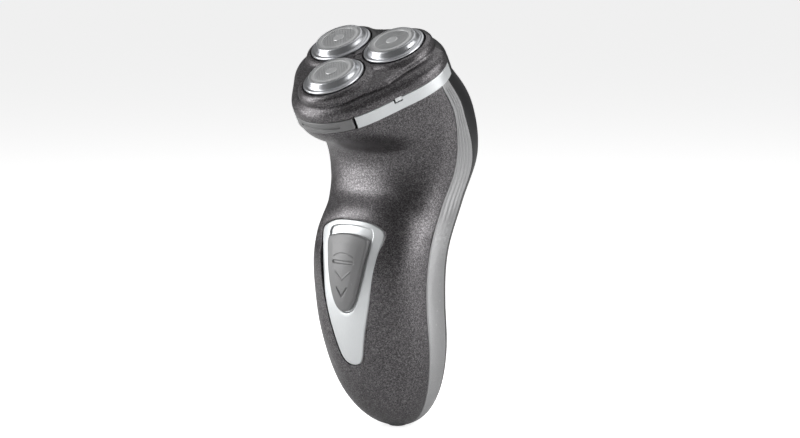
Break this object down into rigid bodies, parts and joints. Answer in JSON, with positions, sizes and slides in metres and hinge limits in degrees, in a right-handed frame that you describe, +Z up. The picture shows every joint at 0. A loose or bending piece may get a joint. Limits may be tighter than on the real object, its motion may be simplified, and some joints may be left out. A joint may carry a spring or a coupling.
{
  "type": "electric shaver",
  "caption": "Rotary electric shaver: curved handle with ribbed side grips and slide switch, tilted flip-open head with floating round cutting units, pop-out trimmer.",
  "frame": {"origin": "middle of the small foot at the bottom end of the handle", "axes": "+Z up along the handle, -Y towards the switch side, +X to the right when the switch side is faced"},
  "size_m": [0.0664, 0.0766, 0.156],
  "materials": {
    "dark_paint": "satin metallic speckled paint on plastic",
    "black_plastic": "black, semi gloss",
    "grip_grey": "ribbed light silver grey, satin",
    "silver_trim": "satin silver",
    "cutter_chrome": "polished",
    "switch_grey": "mid grey, satin",
    "spring_steel": "bright wire",
    "contact_brass": "plain",
    "nickel_strip": "nickel plated",
    "inner_plastic": "moulded",
    "inner_dark": "moulded, dark",
    "board_green": "coated board",
    "cell_wrap": "shrink sleeve",
    "motor_steel": "zinc plated",
    "pin_steel": "plain",
    "gear_white": "acetal",
    "blade_steel": "ground"
  },
  "bodies": {
    "handle": {"front_shell": "dark_paint", "back_shell": "black_plastic", "grip_left": "grip_grey", "grip_right": "grip_grey", "base_foot": "grip_grey", "collar_left": "silver_trim", "collar_right": "silver_trim", "release_springs": "spring_steel", "switch_bezel": "silver_trim", "switch_insert": "silver_trim", "inner_frame": "inner_plastic", "circuit_board": "board_green", "capacitor": "cell_wrap", "battery_left": "cell_wrap", "battery_right": "cell_wrap", "battery_straps": "nickel_strip", "motor": "motor_steel", "motor_screws": "pin_steel", "gear_chassis": "inner_plastic", "gear_axles": "pin_steel", "spindle_springs": "spring_steel", "gear_deck": "inner_dark", "deck_screws": "pin_steel", "inlet_socket": "black_plastic", "inlet_pins": "nickel_strip", "shell_screws": "pin_steel", "trimmer_pin": "pin_steel", "hinge_pin": "pin_steel"},
    "release": {"release_button": "switch_grey"},
    "power_switch": {"switch_slider": "switch_grey", "switch_contact": "contact_brass"},
    "pinion": {"motor_shaft": "pin_steel", "motor_pinion": "gear_white"},
    "front_gear": {"gear_front": "gear_white"},
    "left_gear": {"gear_left": "gear_white"},
    "right_gear": {"gear_right": "gear_white"},
    "front_spindle": {"spindle_front": "gear_white"},
    "left_spindle": {"spindle_left": "gear_white"},
    "right_spindle": {"spindle_right": "gear_white"},
    "trimmer": {"trimmer_cover": "black_plastic", "trimmer_comb": "blade_steel"},
    "trimmer_cutter": {"trimmer_blade": "blade_steel"},
    "latch": {"trimmer_latch": "black_plastic"},
    "head": {"head_housing": "dark_paint", "head_rear_cover": "black_plastic", "centre_cap": "cutter_chrome", "retaining_frame": "inner_dark"},
    "lock": {"lock_wheel": "inner_dark"},
    "front_guard": {"guard_front": "cutter_chrome"},
    "left_guard": {"guard_left": "cutter_chrome"},
    "right_guard": {"guard_right": "cutter_chrome"},
    "front_cutter": {"cutter_front": "blade_steel"},
    "left_cutter": {"cutter_left": "blade_steel"},
    "right_cutter": {"cutter_right": "blade_steel"}
  },
  "joints": [
    {"name": "head_flip", "type": "hinge", "parent": "handle", "child": "head", "pos_m": [0, 0.00626, 0.1516], "axis": [-1, 0, 0], "range_deg": [0, 95]},
    {"name": "release_press", "type": "slide", "parent": "handle", "child": "release", "axis": [0, 0.8704, 0.4924], "range_m": [0, 0.0012], "stiffness_N_per_m": 400, "deforming": ["release_springs"]},
    {"name": "power_slide", "type": "slide", "parent": "handle", "child": "power_switch", "axis": [0, 0, 1], "range_m": [0, 0.0018]},
    {"name": "front_gear_spin", "type": "hinge", "parent": "handle", "child": "front_gear", "pos_m": [0, -0.03101, 0.12649], "axis": [0, -0.4924, 0.8704], "continuous": true},
    {"name": "left_gear_spin", "type": "hinge", "parent": "handle", "child": "left_gear", "pos_m": [-0.01299, -0.01143, 0.13757], "axis": [0, -0.4924, 0.8704], "continuous": true},
    {"name": "right_gear_spin", "type": "hinge", "parent": "handle", "child": "right_gear", "pos_m": [0.01299, -0.01143, 0.13757], "axis": [0, -0.4924, 0.8704], "continuous": true},
    {"name": "pinion_spin", "type": "hinge", "parent": "handle", "child": "pinion", "pos_m": [0, -0.01791, 0.13379], "axis": [0, -0.4924, 0.8704], "continuous": true},
    {"name": "trimmer_open", "type": "hinge", "parent": "handle", "child": "trimmer", "pos_m": [0, 0.0164, 0.0923], "axis": [-1, 0, 0], "range_deg": [0, 32]},
    {"name": "trimmer_stroke", "type": "slide", "parent": "trimmer", "child": "trimmer_cutter", "axis": [1, 0, 0], "range_m": [-0.001, 0.001]},
    {"name": "latch_slide", "type": "slide", "parent": "handle", "child": "latch", "axis": [0, 0.426, 0.9047], "range_m": [0, 0.003], "stiffness_N_per_m": 300},
    {"name": "lock_turn", "type": "hinge", "parent": "head", "child": "lock", "pos_m": [0, -0.02051, 0.1384], "axis": [0, -0.4924, 0.8704], "range_deg": [0, 90]},
    {"name": "front_float", "type": "slide", "parent": "head", "child": "front_guard", "axis": [0, 0.4924, -0.8704], "range_m": [0, 0.0015], "stiffness_N_per_m": 500},
    {"name": "front_cutter_spin", "type": "hinge", "parent": "front_guard", "child": "front_cutter", "pos_m": [0, -0.03775, 0.13841], "axis": [0, -0.4924, 0.8704], "continuous": true},
    {"name": "front_spindle_slide", "type": "slide", "parent": "front_gear", "child": "front_spindle", "axis": [0, 0.4924, -0.8704], "range_m": [0, 0.0015], "deforming": ["spindle_springs"]},
    {"name": "left_float", "type": "slide", "parent": "head", "child": "left_guard", "axis": [0, 0.4924, -0.8704], "range_m": [0, 0.0015], "stiffness_N_per_m": 500},
    {"name": "left_cutter_spin", "type": "hinge", "parent": "left_guard", "child": "left_cutter", "pos_m": [-0.01299, -0.01817, 0.14949], "axis": [0, -0.4924, 0.8704], "continuous": true},
    {"name": "left_spindle_slide", "type": "slide", "parent": "left_gear", "child": "left_spindle", "axis": [0, 0.4924, -0.8704], "range_m": [0, 0.0015]},
    {"name": "right_float", "type": "slide", "parent": "head", "child": "right_guard", "axis": [0, 0.4924, -0.8704], "range_m": [0, 0.0015], "stiffness_N_per_m": 500},
    {"name": "right_cutter_spin", "type": "hinge", "parent": "right_guard", "child": "right_cutter", "pos_m": [0.01299, -0.01817, 0.14949], "axis": [0, -0.4924, 0.8704], "continuous": true},
    {"name": "right_spindle_slide", "type": "slide", "parent": "right_gear", "child": "right_spindle", "axis": [0, 0.4924, -0.8704], "range_m": [0, 0.0015]}
  ],
  "couplings": [
    {"joint": "left_gear_spin", "follows": "front_gear_spin", "ratio": 1},
    {"joint": "right_gear_spin", "follows": "front_gear_spin", "ratio": 1},
    {"joint": "pinion_spin", "follows": "front_gear_spin", "ratio": -2},
    {"joint": "front_cutter_spin", "follows": "front_gear_spin", "ratio": 1},
    {"joint": "front_spindle_slide", "follows": "front_float", "ratio": 1},
    {"joint": "left_cutter_spin", "follows": "front_gear_spin", "ratio": 1},
    {"joint": "left_spindle_slide", "follows": "left_float", "ratio": 1},
    {"joint": "right_cutter_spin", "follows": "front_gear_spin", "ratio": 1},
    {"joint": "right_spindle_slide", "follows": "right_float", "ratio": 1}
  ]
}
